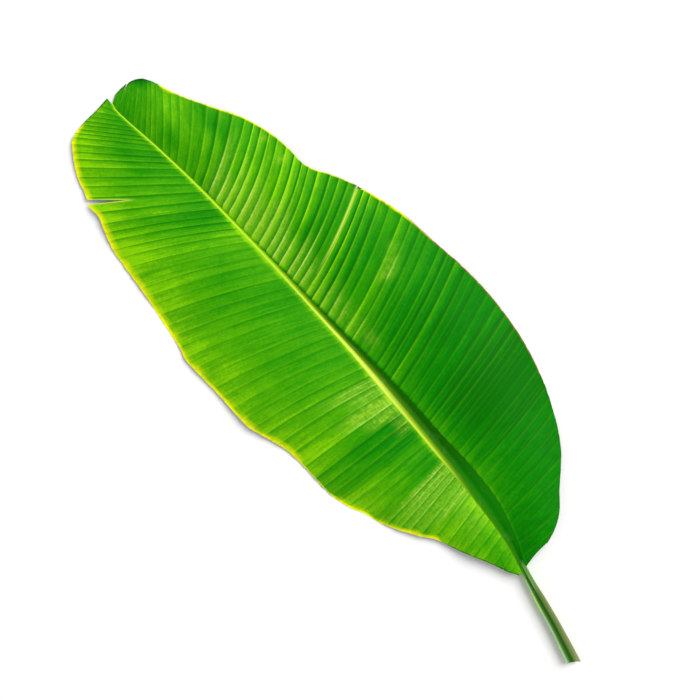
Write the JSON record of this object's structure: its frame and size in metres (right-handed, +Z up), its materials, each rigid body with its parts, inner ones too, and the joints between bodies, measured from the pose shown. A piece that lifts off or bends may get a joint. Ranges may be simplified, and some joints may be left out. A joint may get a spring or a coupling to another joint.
{
  "type": "banana leaf",
  "caption": "Cut banana leaf lying upper side up: a grooved petiole, a channelled midrib and a long pleated blade with a waved margin.",
  "frame": {"origin": "middle of the leaf's box in plan, on the surface that the leaf lies on", "axes": "+X along the leaf from the petiole's cut end to the tip, +Y to the left half of the blade seen from above with the tip ahead, +Z up out of the blade's upper side"},
  "size_m": [1.2144, 0.4556, 0.0362],
  "materials": {
    "leaf": "waxy, semi-gloss, fresh green with a yellow margin and midrib"
  },
  "bodies": {
    "root": {"banana_leaf": "leaf"}
  },
  "joints": []
}
